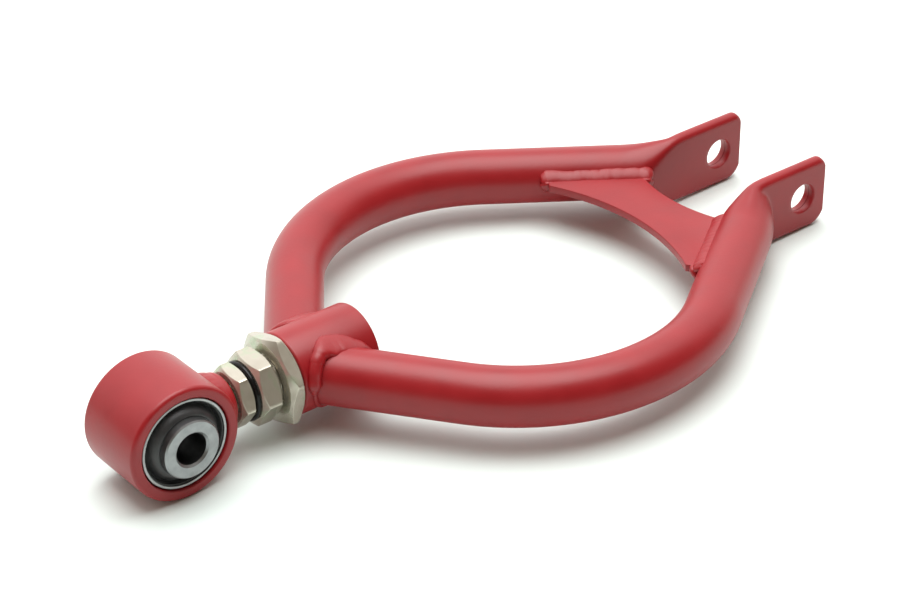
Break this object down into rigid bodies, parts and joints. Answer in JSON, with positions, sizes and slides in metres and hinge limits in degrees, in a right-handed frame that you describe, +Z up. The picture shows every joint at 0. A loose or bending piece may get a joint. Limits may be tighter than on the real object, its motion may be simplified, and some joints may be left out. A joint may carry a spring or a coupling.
{
  "type": "control arm",
  "caption": "Forked tubular control arm with a rubber bush at one end, a double-ended threaded length adjuster and a flattened clevis at the other.",
  "frame": {"origin": "centre of the bush bore, midway between the faces of the inner sleeve", "axes": "+X along the arm to the clevis bore, +Y along the bush bolt and the clevis bolt, +Z up when the arm lies flat"},
  "size_m": [0.3219, 0.1852, 0.0446],
  "materials": {
    "powder_red": "satin",
    "zinc_plate": "satin",
    "bush_steel": "satin",
    "bush_rubber_black": "matte",
    "seal_black": "gloss"
  },
  "bodies": {
    "arm": {"threaded_barrel": "powder_red", "rear_tube": "powder_red", "front_tube": "powder_red", "rear_barrel_weld": "powder_red", "front_barrel_weld": "powder_red", "gusset_plate": "powder_red", "rear_gusset_weld_top": "powder_red", "rear_gusset_weld_bottom": "powder_red", "front_gusset_weld_top": "powder_red", "front_gusset_weld_bottom": "powder_red"},
    "seal": {"seal_ring": "seal_black"},
    "adjuster": {"adjuster_sleeve": "zinc_plate"},
    "eye": {"bush_housing": "powder_red", "bush_outer_shell": "bush_steel", "bush_rubber": "bush_rubber_black", "housing_weld": "powder_red", "threaded_stud": "zinc_plate"},
    "bush_sleeve": {"bush_inner_sleeve": "bush_steel"},
    "stud_nut": {"stud_lock_nut": "zinc_plate"},
    "barrel_nut": {"barrel_lock_nut": "zinc_plate"}
  },
  "joints": [
    {"name": "adjuster_travel", "type": "slide", "parent": "arm", "child": "seal", "axis": [-1, 0, 0], "range_m": [0, 0.009]},
    {"name": "adjuster_turn", "type": "hinge", "parent": "seal", "child": "adjuster", "pos_m": [0.0394, 0, 0], "axis": [-1, 0, 0], "range_deg": [0, 2160]},
    {"name": "eye_travel", "type": "slide", "parent": "arm", "child": "eye", "axis": [-1, 0, 0], "range_m": [0, 0.018]},
    {"name": "bush_twist", "type": "hinge", "parent": "eye", "child": "bush_sleeve", "pos_m": [0, 0, 0], "axis": [0, 1, 0], "range_deg": [-20, 20], "stiffness_Nm_per_rad": 20},
    {"name": "stud_nut_turn", "type": "hinge", "parent": "eye", "child": "stud_nut", "pos_m": [0.0304, 0, 0], "axis": [1, 0, 0], "range_deg": [0, 240]},
    {"name": "barrel_nut_turn", "type": "hinge", "parent": "arm", "child": "barrel_nut", "pos_m": [0.0481, 0, 0], "axis": [-1, 0, 0], "range_deg": [0, 330]}
  ],
  "couplings": [
    {"joint": "adjuster_travel", "follows": "eye_travel", "ratio": 0.5},
    {"joint": "adjuster_turn", "follows": "eye_travel", "rad_per_m": 2094.4}
  ]
}
